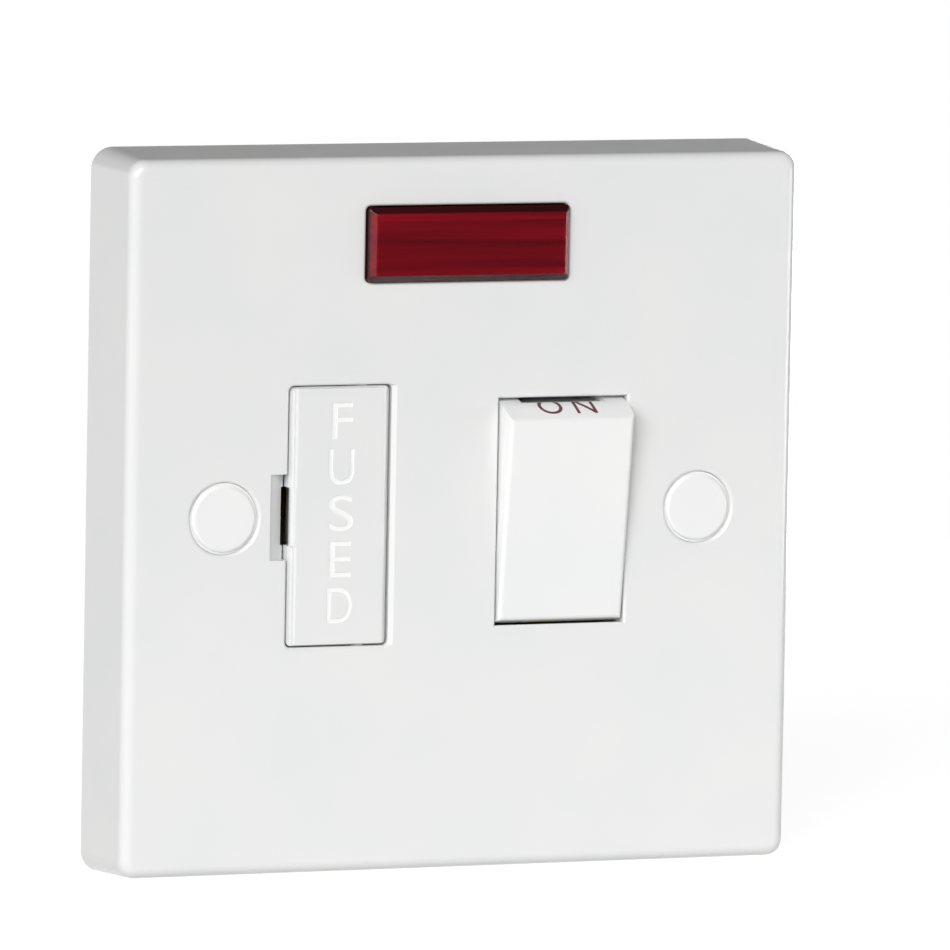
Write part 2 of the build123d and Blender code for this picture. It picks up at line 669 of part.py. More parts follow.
def fuse_cap(side):
    end = side * FUSE_LENGTH / 2
    rim = side * (FUSE_LENGTH / 2 - FUSE_CAP_LENGTH)
    floor = side * (FUSE_LENGTH / 2 - FUSE_CAP_T)
    cup = rod_z(FUSE_X, FUSE_Y, FUSE_R, rim, end)
    ends = cup.edges().filter_by(GeomType.CIRCLE).sort_by(lambda edge: side * edge.center().Z)
    cup = fillet(ends[-1], FUSE_CAP_EDGE_R)
    return cup - rod_z(FUSE_X, FUSE_Y, FUSE_R - FUSE_CAP_T, rim, floor)


# Carrier: a face plate on hinge pins, with end cheeks and two saddle ribs for the fuse
def carrier_panel(left, edge_r, z0, z1):
    back_y = FACE_Y + CARRIER_FACE_T
    section = make_face(
        Polyline(
            (left, FACE_Y),
            (CARRIER_RIGHT, FACE_Y),
            (CARRIER_RIGHT, back_y),
            (left, back_y),
            close=True,
        )
    )
    section = fillet(section.vertices().group_by(Axis.Y)[0].sort_by(Axis.X)[-1], CARRIER_HINGE_EDGE_R)
    section = fillet(section.vertices().group_by(Axis.X)[0].sort_by(Axis.Y)[0], edge_r)
    return Pos(0, 0, z0) * extrude(section, z1 - z0)


def carrier_face():
    back_y = FACE_Y + CARRIER_FACE_T
    half = PRY_SLOT_LENGTH / 2
    face = carrier_panel(CARRIER_LEFT, CARRIER_TAB_EDGE_R, -half, half)
    for z0, z1 in ((-CARRIER_HALF, -half), (half, CARRIER_HALF)):
        face += carrier_panel(CARRIER_LEFT + CARRIER_LEDGE, CARRIER_LEDGE_EDGE_R, z0, z1)
    step_y = FACE_Y + CARRIER_STEP_DEPTH
    step_w = CARRIER_RIGHT - CARRIER_LEFT + 2 * CARRIER_STEP
    step_h = 2 * (CARRIER_HALF + CARRIER_STEP)
    face += slab(CARRIER_X, 0, step_w, step_h, CARRIER_STEP_CORNER_R, step_y, back_y)
    face -= span(CARRIER_LEFT - CARRIER_STEP, CARRIER_LEFT, step_y, back_y, -half, half)
    return face - span(CARRIER_LEFT, CARRIER_LEFT + PRY_LIP, FACE_Y + PRY_LIP, back_y, -half, half)


def fuse_carrier():
    back_y = FACE_Y + CARRIER_FACE_T
    cheek_in = FUSE_LENGTH / 2 + CHEEK_GAP
    pin_out = CARRIER_HALF + HINGE_PIN_LENGTH
    cheek_right = HINGE_X + CHEEK_SETBACK
    rear_y = HINGE_Y + SWEEP_R
    carrier = carrier_face()
    behind = span(CARRIER_LEFT, cheek_right, back_y, rear_y, -CARRIER_HALF, CARRIER_HALF)
    for side in (-1, 1):
        cheek = rod_z(HINGE_X, HINGE_Y, SWEEP_R, side * cheek_in, side * CARRIER_HALF)
        carrier += cheek & behind
        carrier += rod_z(HINGE_X, HINGE_Y, HINGE_PIN_R, side * cheek_in, side * pin_out)
    seat = FUSE_R + FUSE_SEAT_GAP
    half = seat + SADDLE_WALL
    for side in (-1, 1):
        near = side * (SADDLE_HALF - SADDLE_RIB_T)
        far = side * SADDLE_HALF
        rib = span(FUSE_X - half, FUSE_X + half, back_y, FUSE_Y, near, far)
        carrier += rib & rod_z(HINGE_X, HINGE_Y, SWEEP_R, near, far)
    return carrier - rod_z(FUSE_X, FUSE_Y, seat, -cheek_in, cheek_in)


# Terminals: brass pillars with a blind wire bore towards the nearer end of the unit
def terminal(x, side):
    inner = side * TERMINAL_IN
    outer = side * TERMINAL_OUT
    half = TERMINAL_W / 2
    pillar = span(x - half, x + half, TERMINAL_Y, TERMINAL_REAR_Y, inner, outer)
    pillar = fillet(pillar.edges().filter_by(Axis.Z), TERMINAL_EDGE_R)
    pillar -= rod_z(x, WIRE_Y, WIRE_BORE_R, side * (TERMINAL_IN + TERMINAL_END_WALL), outer)
    screw_hole_r = TERMINAL_SCREW_R + TERMINAL_SCREW_FIT
    return pillar - rod_y(x, side * TERMINAL_MID, screw_hole_r, WIRE_Y, TERMINAL_REAR_Y)


# Rear housing: bays for the fuse, the switch and the terminals, with a tray for the neon lamp
def housing_bays():
    front_y = HOUSING_FRONT_Y - CUT
    inner_left = HOUSING_LEFT + HOUSING_WALL
    inner_right = HOUSING_RIGHT - HOUSING_WALL
    partition_left = PARTITION_X - PARTITION_T / 2
    partition_right = PARTITION_X + PARTITION_T / 2
    bays = span(inner_left, partition_left, front_y, FLOOR_Y, -BAY_HALF, BAY_HALF)
    bays += span(partition_right, inner_right, front_y, FLOOR_Y, -BAY_HALF, BAY_HALF)
    for side in (-1, 1):
        bays += span(inner_left, inner_right, front_y, FLOOR_Y, side * TERMINAL_IN, side * TERMINAL_OUT)
    return bays


def strip_windows():
    front_y = STRAP_Y - WINDOW_GAP
    half = STRAP_W / 2 + WINDOW_GAP
    windows = span(PARTITION_X - PARTITION_T, LINE_X, front_y, FLOOR_Y, -half, half)
    crossings = [(FUSE_X, 1), (LINE_X, 1), (NEUTRAL_X, 1), (FUSE_X, -1), (NEUTRAL_X, -1)]
    for x, side in crossings:
        windows += span(x - half, x + half, front_y, FLOOR_Y, side * BAY_HALF, side * TERMINAL_IN)
    return windows


def terminal_pockets(places, side):
    half = TERMINAL_W / 2 + TERMINAL_FIT
    pockets = []
    for x in places:
        seat = span(x - half, x + half, FLOOR_Y, TERMINAL_REAR_Y, side * TERMINAL_IN, side * TERMINAL_OUT)
        mouth_y = TERMINAL_Y - TERMINAL_FIT
        mouth_z = side * (HOUSING_HALF + CUT)
        mouth = span(x - half, x + half, mouth_y, TERMINAL_REAR_Y, side * TERMINAL_OUT, mouth_z)
        access_r = TERMINAL_HEAD_R + ACCESS_GAP
        access = rod_y(x, side * TERMINAL_MID, access_r, TERMINAL_REAR_Y, HOUSING_REAR_Y)
        pockets += [seat, mouth, access]
    return pockets


def terminal_cores(places, side):
    half = TERMINAL_W / 2 + TERMINAL_FIT
    starts = [HOUSING_LEFT] + [x + half for x in places]
    ends = [x - half for x in places] + [HOUSING_RIGHT]
    near = side * (BAY_HALF + CORE_WALL)
    far = side * (HOUSING_HALF - CORE_WALL)
    return [
        span(start + CORE_WALL, end - CORE_WALL, HOUSING_BACK_Y, HOUSING_REAR_Y, near, far)
        for start, end in zip(starts, ends)
        if end - start > 2 * CORE_WALL + CORE_LEAST
    ]


def rocker_keeper(side, wall_x):
    inner = ROCKER_X + side * (LUG_IN + KEEPER_GAP)
    half = TRUNNION_R - KEEPER_GAP
    return span(inner, wall_x, PIVOT_Y + TRUNNION_R + KEEPER_GAP, FLOOR_Y, -half, half)


def neon_tray():
    half_w = LENS_W / 2 + LENS_FLANGE
    half_h = LENS_H / 2 + LENS_FLANGE
    tray = span(-half_w, half_w, TRAY_Y, TRAY_REAR_Y, HOUSING_HALF, LENS_Z + half_h)
    low = LENS_Z - HOLLOW_HALF_H
    high = LENS_Z + HOLLOW_HALF_H
    tray -= span(-HOLLOW_HALF_W, HOLLOW_HALF_W, TRAY_Y, TRAY_FLOOR_Y, low, high)
    rest_y = NEON_Y + NEON_REST_DEPTH
    half_t = NEON_REST_T / 2
    for x in (-NEON_REST_X, NEON_REST_X):
        tray += span(x - half_t, x + half_t, rest_y, TRAY_FLOOR_Y, low, high)
    tray -= rod_x(NEON_Y, LENS_Z, NEON_R + NEON_REST_GAP, -HOLLOW_HALF_W, HOLLOW_HALF_W)
    for side in (-1, 1):
        hole_z = LENS_Z + side * LEAD_SPLIT
        tray -= rod_y(LEAD_X, hole_z, LEAD_R + LEAD_HOLE_GAP, TRAY_FLOOR_Y, TRAY_REAR_Y)
    return tray


def ear(x, z):
    wall_x = HOUSING_LEFT if x < HOUSING_LEFT else HOUSING_RIGHT
    rear_y = EAR_Y + EAR_T
    tab = rod_y(x, z, EAR_R, EAR_Y, rear_y)
    tab += span(wall_x, x, EAR_Y, rear_y, z - EAR_R, z + EAR_R)
    return tab - rod_y(x, z, HOUSING_SCREW_R + EAR_HOLE_GAP, EAR_Y, rear_y)


def housing_block(y0, y1, z0, z1):
    return span(HOUSING_LEFT, HOUSING_RIGHT, y0, y1, z0, z1)


def rear_housing():
    housing = housing_block(HOUSING_FRONT_Y, HOUSING_BACK_Y, -HOUSING_HALF, HOUSING_HALF)
    for side in (-1, 1):
        near = side * BAY_HALF
        housing += housing_block(FLOOR_Y, HOUSING_REAR_Y, near, side * HOUSING_HALF)
    corners = [
        edge
        for edge in housing.edges().filter_by(Axis.Y)
        if abs(edge.center().Z) > BAY_HALF + BARRIER_T
    ]
    housing = fillet(corners, HOUSING_CORNER_R)
    rear_faces = housing.faces().filter_by(Plane.XZ).group_by(Axis.Y)[-1]
    housing = fillet(rear_faces.edges(), HOUSING_EDGE_R)
    housing -= housing_bays()
    housing += rocker_keeper(-1, PARTITION_X) + rocker_keeper(1, HOUSING_RIGHT - HOUSING_WALL)
    housing -= strip_windows()
    for places, side in ((UPPER_TERMINALS.values(), 1), (LOWER_TERMINALS.values(), -1)):
        for cutter in terminal_pockets(places, side) + terminal_cores(places, side):
            housing -= cutter
    for x in FIXING_XS:
        housing -= rod_y(x, 0, BOSS_R + BOSS_RELIEF, HOUSING_FRONT_Y, BOSS_Y + BOSS_RELIEF)
    housing += neon_tray()
    for x, z in EARS:
        housing += ear(x, z)
    notch = LEAD_R + LEAD_HOLE_GAP
    for x in (FUSE_X, NEUTRAL_LEAD_X):
        housing -= span(x - notch, x + notch, HOUSING_FRONT_Y, LEAD_Y + notch, TERMINAL_OUT, HOUSING_HALF)
    return housing


# Neon lens and lamp: the lens has fine level flutes on its inner face
def lens_flutes(inner_y, low, high):
    count = round((high - low) / FLUTE_PITCH)
    pitch = (high - low) / count
    root_y = inner_y - LENS_WALL / 2
    profile = [(root_y, high), (root_y, low), (inner_y, low)]
    for index in range(count):
        start = low + index * pitch
        profile += [(inner_y + FLUTE_DEPTH, start + pitch / 2), (inner_y, start + pitch)]
    return prism_x(profile, -HOLLOW_HALF_W, HOLLOW_HALF_W)


def lens_front(bevel_y):
    rim = RectangleRounded(LENS_W, LENS_H, LENS_CORNER_R)
    panel_w = LENS_W - 2 * LENS_CHAMFER
    panel_h = LENS_H - 2 * LENS_CHAMFER
    panel = RectangleRounded(panel_w, panel_h, LENS_PANEL_CORNER_R)
    rim_plane = Plane((0, bevel_y, LENS_Z), x_dir=(1, 0, 0), z_dir=(0, -1, 0))
    panel_plane = Plane((0, LENS_FRONT_Y, LENS_Z), x_dir=(1, 0, 0), z_dir=(0, -1, 0))
    return loft([rim_plane * rim, panel_plane * panel], ruled=True)


def neon_lens():
    bevel_y = LENS_FRONT_Y + LENS_CHAMFER
    lens = slab(0, LENS_Z, LENS_W, LENS_H, LENS_CORNER_R, bevel_y, WALL_Y) + lens_front(bevel_y)
    flange_w = LENS_W + 2 * LENS_FLANGE
    flange_h = LENS_H + 2 * LENS_FLANGE
    lens += slab(0, LENS_Z, flange_w, flange_h, LENS_CORNER_R, WALL_Y, FLANGE_Y)
    low = LENS_Z - HOLLOW_HALF_H
    high = LENS_Z + HOLLOW_HALF_H
    inner_y = LENS_FRONT_Y + LENS_WALL
    lens -= span(-HOLLOW_HALF_W, HOLLOW_HALF_W, inner_y, FLANGE_Y, low, high)
    return lens + lens_flutes(inner_y, low, high)


def neon_bulb():
    start_x = NEON_R - NEON_LENGTH / 2
    end_x = NEON_LENGTH / 2
    pinch_x = end_x - NEON_PINCH_LENGTH
    glass = rod_x(NEON_Y, LENS_Z, NEON_R, start_x, pinch_x)
    glass += Pos(start_x, NEON_Y, LENS_Z) * Sphere(NEON_R)
    return glass + rod_x(NEON_Y, LENS_Z, NEON_PINCH_R, pinch_x, end_x)


def neon_lead_line():
    lead_z = LENS_Z + LEAD_SPLIT
    dip_z = TAIL_Z + LEAD_DROP
    tail_y = FLOOR_Y - LEAD_R - LEAD_TAIL_GAP
    return wire_along(
        [
            (NEON_LENGTH / 2, NEON_Y, lead_z),
            (LEAD_X, NEON_Y, lead_z),
            (LEAD_X, LEAD_Y, lead_z),
            (FUSE_X, LEAD_Y, lead_z),
            (FUSE_X, LEAD_Y, dip_z),
            (FUSE_X, tail_y, dip_z),
            (FUSE_X, tail_y, TAIL_Z),
        ]
    )


def neon_lead_neutral():
    lead_z = LENS_Z - LEAD_SPLIT
    return wire_along(
        [
            (NEON_LENGTH / 2, NEON_Y, lead_z),
            (LEAD_X, NEON_Y, lead_z),
            (LEAD_X, LEAD_Y, lead_z),
            (NEUTRAL_LEAD_X, LEAD_Y, lead_z),
            (NEUTRAL_LEAD_X, LEAD_Y, TERMINAL_MID),
            (NEUTRAL_LEAD_X, TERMINAL_Y, TERMINAL_MID),
        ]
    )


def neon_resistor():
    middle = (LEAD_X + NEUTRAL_LEAD_X) / 2
    half = RESISTOR_LENGTH / 2
    lead_z = LENS_Z - LEAD_SPLIT
    body = rod_x(LEAD_Y, lead_z, RESISTOR_R, middle - half, middle + half)
    ends = body.edges().filter_by(GeomType.CIRCLE)
    body = fillet(ends, RESISTOR_END_R)
    return body - rod_x(LEAD_Y, lead_z, LEAD_R, middle - half, middle + half)


parts = {
    "front_plate": front_plate(),
    "rear_housing": rear_housing(),
    "rocker": rocker(),
    "fuse_carrier": fuse_carrier(),
    "fuse_barrel": fuse_barrel(),
    "fuse_cap_upper": fuse_cap(1),
    "fuse_cap_lower": fuse_cap(-1),
    "line_strip": line_strip(),
    "lower_fuse_clip": lower_fuse_clip(),
    "neutral_strip": neutral_strip(),
    "neon_lens": neon_lens(),
    "neon_bulb": neon_bulb(),
    "neon_resistor": neon_resistor(),
    "neon_lead_line": neon_lead_line(),
    "neon_lead_neutral": neon_lead_neutral(),
    "screw_cap_left": screw_cap(FIXING_XS[0]),
    "screw_cap_right": screw_cap(FIXING_XS[1]),
    "fixing_screws": Compound(children=[fixing_screw(x) for x in FIXING_XS]),
    "housing_screws": Compound(children=[housing_screw(x, z) for x, z in EARS]),
}
for pole, pole_x in (("line", LINE_X), ("neutral", NEUTRAL_X)):
    parts[f"{pole}_plunger"] = plunger(pole_x)
    parts[f"{pole}_spring"] = spring(pole_x)
    parts[f"{pole}_lever"] = lever(pole_x)
    parts[f"{pole}_lever_tip"] = lever_tip(pole_x)
    parts[f"{pole}_fixed_contact"] = fixed_contact(pole_x)
    parts[f"{pole}_fixed_tip"] = fixed_tip(pole_x)
screws = []
for row, side in ((UPPER_TERMINALS, 1), (LOWER_TERMINALS, -1)):
    for name, x in row.items():
        parts[name] = terminal(x, side)
        screws.append(terminal_screw(x, side * TERMINAL_MID))
parts["terminal_screws"] = Compound(children=screws)

os.makedirs("parts", exist_ok=True)
for name, solid in parts.items():
    export_step(solid, f"parts/{name}.step")
    print(name, round(solid.volume, 2))
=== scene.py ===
# %% [markdown]
# The looks of a switched fused connection unit: a white moulded wall plate with a rocker switch,
# a hinged fuse carrier, a red indicator window and two cap-covered screws.
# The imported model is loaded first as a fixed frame. Every piece made below is in metres and in
# that same frame, so a piece goes where the frame says and nothing has to be fitted by eye.

# %% Load the frame
import json
import math
import bmesh
import bpy
from mathutils import Matrix, Vector
from mathutils.bvhtree import BVHTree


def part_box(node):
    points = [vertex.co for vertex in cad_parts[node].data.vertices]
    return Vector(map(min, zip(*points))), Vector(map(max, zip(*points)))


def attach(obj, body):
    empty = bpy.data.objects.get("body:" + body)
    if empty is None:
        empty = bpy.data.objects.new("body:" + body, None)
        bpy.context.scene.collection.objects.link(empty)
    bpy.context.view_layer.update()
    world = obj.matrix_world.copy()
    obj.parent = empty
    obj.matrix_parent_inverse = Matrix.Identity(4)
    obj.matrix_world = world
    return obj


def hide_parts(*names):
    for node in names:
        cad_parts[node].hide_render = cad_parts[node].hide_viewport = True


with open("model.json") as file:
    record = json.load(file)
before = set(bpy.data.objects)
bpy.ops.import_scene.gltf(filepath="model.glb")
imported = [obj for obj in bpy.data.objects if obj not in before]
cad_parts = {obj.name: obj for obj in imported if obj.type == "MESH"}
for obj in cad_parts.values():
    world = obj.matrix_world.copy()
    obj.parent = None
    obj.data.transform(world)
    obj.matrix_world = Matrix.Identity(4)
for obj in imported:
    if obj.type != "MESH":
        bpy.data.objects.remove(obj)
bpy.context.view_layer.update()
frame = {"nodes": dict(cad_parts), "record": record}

MM = 0.001

# %% [markdown]
# Places come from the frame. The plate's front face, the rocker's pivot and the window are read
# from the nodes' boxes and the record's joints, so the looks follow the model if it changes.

# %% Places read from the frame
joints = {joint["name"]: joint for joint in frame["record"]["behaviour"]["joints"]}
plate_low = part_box("front_plate")[0]
FACE_Y = plate_low.y
PLATE_BOTTOM = plate_low.z
pivot = Vector(joints["rocker_tilt"]["pos_m"])
BASE_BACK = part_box("rear_housing")[1].y
print("face at", round(FACE_Y / MM, 2), "mm, pivot", [round(value / MM, 2) for value in pivot])

# %% [markdown]
# A few helpers serve every material. Colours are written as the sRGB hex that a colour picker shows,
# and one function turns them to the linear values that the shader works in. Another adds a node, sets
# it and links it. Short ones on top of it make what nearly every finish has: a noise, colours along a
# value, a spread of shine and a fine relief. Patterns use Object coordinates, which are metres here, so
# a pattern whose repeat is some millimetres wide has a scale of that many repeats to the metre.


# %% Helpers for materials
def linear(colour):
    """An sRGB hex colour as linear red, green, blue and alpha."""
    shares = [int(colour[start:start + 2], 16) / 255 for start in (1, 3, 5)]
    return [c / 12.92 if c <= 0.04045 else ((c + 0.055) / 1.055) ** 2.4 for c in shares] + [1]


def add(tree, kind, inputs=None, **settings):
    """Add a node. An input's value is a number, a colour or another node's output."""
    node = tree.nodes.new(kind)
    for name, value in settings.items():
        setattr(node, name, value)
    for name, value in (inputs or {}).items():
        if isinstance(value, bpy.types.NodeSocket):
            tree.links.new(value, node.inputs[name])
        else:
            node.inputs[name].default_value = value
    return node


def noise(tree, place, repeat_mm, detail):
    """A cloudy pattern with a repeat of so many millimetres."""
    settings = {"Vector": place, "Scale": 1 / (repeat_mm * MM), "Detail": detail}
    return add(tree, "ShaderNodeTexNoise", settings).outputs["Fac"]


def colours(tree, value, stops, interpolation="LINEAR"):
    """Colours along a value, from (position, hex colour) stops in rising order."""
    node = add(tree, "ShaderNodeValToRGB", {"Fac": value})
    node.color_ramp.interpolation = interpolation
    elements = node.color_ramp.elements
    for element, (position, colour) in zip(elements, (stops[0], stops[-1])):
        element.position = position
        element.color = linear(colour)
    for position, colour in stops[1:-1]:
        elements.new(position).color = linear(colour)
    return node.outputs["Color"]


def between(tree, value, low, high):
    """A value of 0 to 1 spread between two others."""
    limits = {"To Min": low, "To Max": high}
    return add(tree, "ShaderNodeMapRange", {"Value": value, **limits}).outputs["Result"]


def relief(tree, value, strength, depth_mm):
    """Bumps of so many millimetres, where the value is the height."""
    settings = {"Height": value, "Strength": strength, "Distance": depth_mm * MM}
    return add(tree, "ShaderNodeBump", settings).outputs["Normal"]


def start_material(name, **surface):
    """A material with its surface values set on the shader, its tree and Object coordinates."""
    material = bpy.data.materials.new(name)
    material.use_nodes = True
    tree = material.node_tree
    shader = tree.nodes["Principled BSDF"]
    for socket, value in surface.items():
        shader.inputs[socket.replace("_", " ")].default_value = value
    place = add(tree, "ShaderNodeTexCoord").outputs["Object"]
    return material, tree, shader, place


def drive(tree, shader, **patterns):
    """Link patterns to the shader's sockets."""
    for socket, pattern in patterns.items():
        tree.links.new(pattern, shader.inputs[socket.replace("_", " ")])


# %% [markdown]
# The plate, rocker, carrier and caps are white urea moulding compound, pressed in a polished mould.
# That gives a hard, even white with a soft shine, a faint cloudiness from the filler and the
# slightest orange-peel in its reflections. Colour, shine and surface each get one noise of their own.
# The rocker and the caps take a second copy with slightly whiter colours than the plate's.


# %% White urea moulding
def white_urea(name, shaded, clear):
    material, tree, shader, place = start_material(name, IOR=1.54)
    tint = colours(tree, noise(tree, place, 14, 2), [(0.3, shaded), (0.7, clear)])
    shine = between(tree, noise(tree, place, 5, 3), 0.16, 0.24)
    peel = relief(tree, noise(tree, place, 1.6, 1), 0.06, 0.1)
    drive(tree, shader, Base_Color=tint, Roughness=shine, Normal=peel)
    return material


WHITE_UREA = white_urea("white_urea_moulding", "#e9eaea", "#ededec")
WHITER_UREA = white_urea("whiter_urea_moulding", "#f1f2f2", "#f5f5f4")
print("made", WHITE_UREA.name, WHITER_UREA.name)

# %% [markdown]
# The base behind the plate, and the plungers, are injection-moulded nylon. It is creamier and
# duller than the plate, because its mould was spark eroded and left a fine even grain. Real grain
# is about a tenth of a millimetre, which the render can't show, so it is drawn three times as coarse.


# %% Grained nylon of the base
def grained_nylon():
    material, tree, shader, place = start_material("grained_nylon", IOR=1.53)
    tint = colours(tree, noise(tree, place, 9, 3), [(0.3, "#dcdad2"), (0.7, "#e4e2da")])
    grain = noise(tree, place, 0.3, 2)
    shine = between(tree, grain, 0.42, 0.58)
    drive(tree, shader, Base_Color=tint, Roughness=shine, Normal=relief(tree, grain, 0.25, 0.05))
    return material


NYLON = grained_nylon()
print("made", NYLON.name)

# %% [markdown]
# The window is polycarbonate dyed deep red and moulded with a polished face. A little milky filler
# in it spreads the lamp's glow over the whole window, so about half of the light is scattered in the
# plastic and half goes through. The dye lies in faint level streaks, the way the melt flowed. The
# window is hollow behind, over the dim lamp tray. Painted shade is multiplied into the streaks, graded by
# the distance from the outline: a light grey over the middle, none on the solid rim, which stays a livelier
# red, and a deep grey on the bevels and walls, except for the bevels at the two ends.

# %% Red polycarbonate of the window
END_BEVEL = 0.6 * MM
RIM_REACH = 2.5 * MM


def red_polycarbonate():
    proud = [v.co for v in frame["nodes"]["neon_lens"].data.vertices if v.co.y < FACE_Y]
    low = Vector([min(corner[axis] for corner in proud) for axis in range(3)])
    high = Vector([max(corner[axis] for corner in proud) for axis in range(3)])
    half = (high - low) / 2 + Vector((END_BEVEL, 0, 0))
    material, tree, shader, place = start_material(
        "red_polycarbonate", IOR=1.58, Transmission_Weight=0.45, Roughness=0.06, Specular_IOR_Level=0.2
    )
    drawn_out = add(tree, "ShaderNodeMapping", {"Vector": place, "Scale": (0.03, 1.0, 1.0)})
    streaks = noise(tree, drawn_out.outputs["Vector"], 1.1, 3)
    tint = colours(tree, streaks, [(0.3, "#860d1a"), (0.7, "#b8162c")])
    centred = add(tree, "ShaderNodeMapping", {"Vector": place, "Location": -(low + high) / 2})
    away = add(tree, "ShaderNodeVectorMath", {0: centred.outputs["Vector"]}, operation="ABSOLUTE")
    inward = add(tree, "ShaderNodeVectorMath", {0: away.outputs[0], 1: half}, operation="SUBTRACT")
    axes = add(tree, "ShaderNodeSeparateXYZ", {"Vector": inward.outputs[0]}).outputs
    rim = add(tree, "ShaderNodeMath", {0: axes["X"], 1: axes["Z"]}, operation="MAXIMUM").outputs[0]
    depth = add(tree, "ShaderNodeMapRange", {"Value": rim, "From Min": -RIM_REACH, "From Max": 0.0})
    # Painted shade: a light grey over the middle, none on the rim band, a deep grey on the bevels and
    # walls.
    painted_shade_stops = [(0.3, "#d8d8d8"), (0.42, "#ffffff"), (0.66, "#ffffff"), (0.74, "#727272")]
    shade = colours(tree, depth.outputs["Result"], painted_shade_stops)
    both = {"Fac": 1.0, "Color1": tint, "Color2": shade}
    shaded = add(tree, "ShaderNodeMixRGB", both, blend_type="MULTIPLY")
    drive(tree, shader, Base_Color=shaded.outputs["Color"])
    return material


RED_LENS = red_polycarbonate()
print("made", RED_LENS.name)

# %% [markdown]
# Four metals are inside. Strips, clips and pillars are drawn brass, dulled in patches by handling;
# screws, springs and fuse caps are zinc-plated steel with a cool, slightly mottled shine; contact
# tips are silver; the lamp's rods are nickel. One recipe makes them all, because they differ only in
# colour and in how even their shine is.


# %% Metals
def metal(name, bright, dull, patch_mm, smooth, rough):
    material, tree, shader, place = start_material(name, Metallic=1.0)
    tint = colours(tree, noise(tree, place, patch_mm, 4), [(0.35, dull), (0.65, bright)])
    shine = between(tree, noise(tree, place, 0.8, 3), smooth, rough)
    drive(tree, shader, Base_Color=tint, Roughness=shine)
    return material


BRASS = metal("drawn_brass", "#d9b566", "#c29a4c", 3.0, 0.22, 0.42)
ZINC = metal("zinc_plated_steel", "#c9ccce", "#b4b8bc", 2.0, 0.24, 0.42)
SILVER = metal("contact_silver", "#dedcd6", "#cfccc4", 1.0, 0.2, 0.38)
NICKEL = metal("nickel_wire", "#bdb7ab", "#a8a296", 1.0, 0.25, 0.4)
print("made", [m.name for m in (BRASS, ZINC, SILVER, NICKEL)])

# %% [markdown]
# The small parts have plain finishes of their own: the fuse's barrel is unglazed ceramic with fine
# specks, the lamp is thin clear glass, the two leads are sleeved in brown and blue plastic, and the
# markings are a matt brown-red ink and a white paint that fills engraved letters.


# %% Ceramic, glass, sleeves and inks
def speckled(name, base, speck, speck_mm, roughness):
    material, tree, shader, place = start_material(name, Roughness=roughness)
    specks = noise(tree, place, speck_mm, 3)
    tint = colours(tree, specks, [(0.35, speck), (0.6, base)])
    drive(tree, shader, Base_Color=tint, Normal=relief(tree, specks, 0.15, 0.03))
    return material


CERAMIC = speckled("unglazed_ceramic", "#ece8de", "#e0dacd", 0.4, 0.6)
BROWN_SLEEVE = speckled("brown_sleeve", "#5a3a28", "#4c3020", 1.5, 0.4)
BLUE_SLEEVE = speckled("blue_sleeve", "#2c5a9a", "#264f8a", 1.5, 0.4)
MARKING_INK = speckled("brown_red_ink", "#6a3338", "#5a2a30", 0.5, 0.5)
LETTER_PAINT = speckled("white_letter_paint", "#fbfbfa", "#f7f7f6", 0.8, 0.35)
CLEAR_GLASS = start_material("lamp_glass", IOR=1.5, Transmission_Weight=1.0, Roughness=0.02)[0]
plain_finishes = [CERAMIC, BROWN_SLEEVE, BLUE_SLEEVE, MARKING_INK, LETTER_PAINT, CLEAR_GLASS]
print("made", [m.name for m in plain_finishes])

# %% [markdown]
# The resistor in the lamp's lead has a tan lacquer body with painted bands. The bands follow the
# body's length, so they are drawn from the X coordinate, measured from one end of the resistor.

# %% Banded resistor lacquer
TAN = "#d9b98a"
BAND = 0.08
PAINTED = {0.2: "#c8641e", 0.4: "#c8641e", 0.6: "#d8c21e", 0.78: "#b8923c"}


def banded_lacquer():
    low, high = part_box("neon_resistor")
    material, tree, shader, place = start_material("resistor_lacquer", Roughness=0.3)
    along = add(tree, "ShaderNodeSeparateXYZ", {"Vector": place}).outputs["X"]
    share = add(tree, "ShaderNodeMapRange", {"Value": along, "From Min": low.x, "From Max": high.x})
    stops = [(0.0, TAN)]
    for position, colour in PAINTED.items():
        stops += [(position, colour), (position + BAND, TAN)]
    drive(tree, shader, Base_Color=colours(tree, share.outputs["Result"], stops, "CONSTANT"))
    return material


LACQUER = banded_lacquer()
print("made", LACQUER.name)

# %% [markdown]
# Most nodes of the frame have the right shape already, so they only need their finish. The table
# below says which finish each takes; a node that a new piece stands for later is dressed as well.


# %% Dress the nodes
def nodes_named(*endings):
    return [name for name in frame["nodes"] if name.endswith(endings)]


finishes = [
    (WHITE_UREA, ["front_plate", "fuse_carrier"]),
    (WHITER_UREA, ["rocker", "screw_cap_left", "screw_cap_right"]),
    (NYLON, ["rear_housing", "line_plunger", "neutral_plunger"]),
    (RED_LENS, ["neon_lens"]),
    (CLEAR_GLASS, ["neon_bulb"]),
    (CERAMIC, ["fuse_barrel"]),
    (LACQUER, ["neon_resistor"]),
    (BROWN_SLEEVE, ["neon_lead_line"]),
    (BLUE_SLEEVE, ["neon_lead_neutral"]),
    (SILVER, nodes_named("_tip")),
    (BRASS, nodes_named("_strip", "_clip", "_contact", "_terminal", "_lever")),
    (ZINC, nodes_named("_screws", "_spring") + ["fuse_cap_upper", "fuse_cap_lower"]),
]
dressed = set()
for finish, names in finishes:
    for name in names:
        frame["nodes"][name].material_slots[0].material = finish
        dressed.add(name)
print("dressed", len(dressed), "of", len(frame["nodes"]), "left", sorted(set(frame["nodes"]) - dressed))

# %% [markdown]
# A new piece starts as a bmesh and ends as an object at the origin, with its place in its mesh. The
# first helper does that last step: it gives the piece its finish, smooth shading with sharp corners
# where faces meet steeply and the body that it moves with. A cut copy of a node still has the node's
# stored normals, which no longer fit its faces, so those are dropped. Three smaller helpers turn a
# bmesh into a mesh, join a mesh to a bmesh and list all that a bmesh holds.

# %% Helpers that turn a shape into a piece
SHARP_ANGLE = math.radians(32)
WELD = 1e-7


